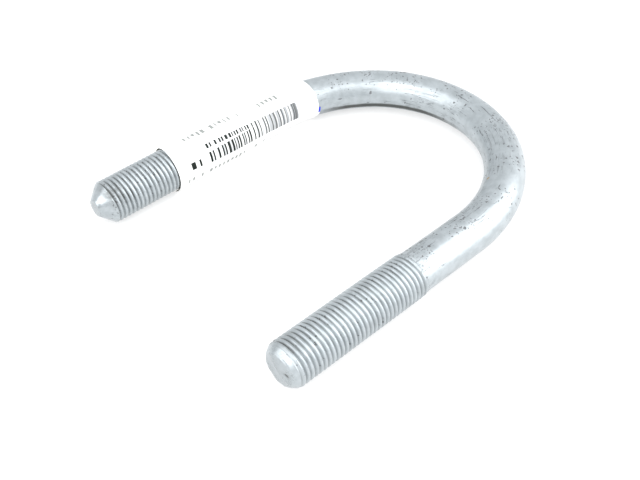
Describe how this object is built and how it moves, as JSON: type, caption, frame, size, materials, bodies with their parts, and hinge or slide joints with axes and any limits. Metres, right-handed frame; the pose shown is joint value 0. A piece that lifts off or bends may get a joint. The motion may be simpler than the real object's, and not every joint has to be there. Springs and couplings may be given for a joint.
{
  "type": "u-bolt",
  "caption": "Round-bar U-bolt: a bent bar whose legs are threaded and coned at their ends, with a paper label wound round one leg.",
  "frame": {"origin": "half way between the legs, on the bar's centre line plane, where the straight legs meet the bow", "axes": "-Y along the legs towards the threaded tips, +Y towards the bow, +X towards the bare leg, +Z square to the plane of the U"},
  "size_m": [0.0999, 0.1256, 0.0146],
  "materials": {
    "zinc_coated_steel": "hot-dip zinc, satin",
    "label_paper": "white label paper"
  },
  "bodies": {
    "root": {"u_bolt": "zinc_coated_steel", "paper_label": "label_paper"}
  },
  "joints": []
}
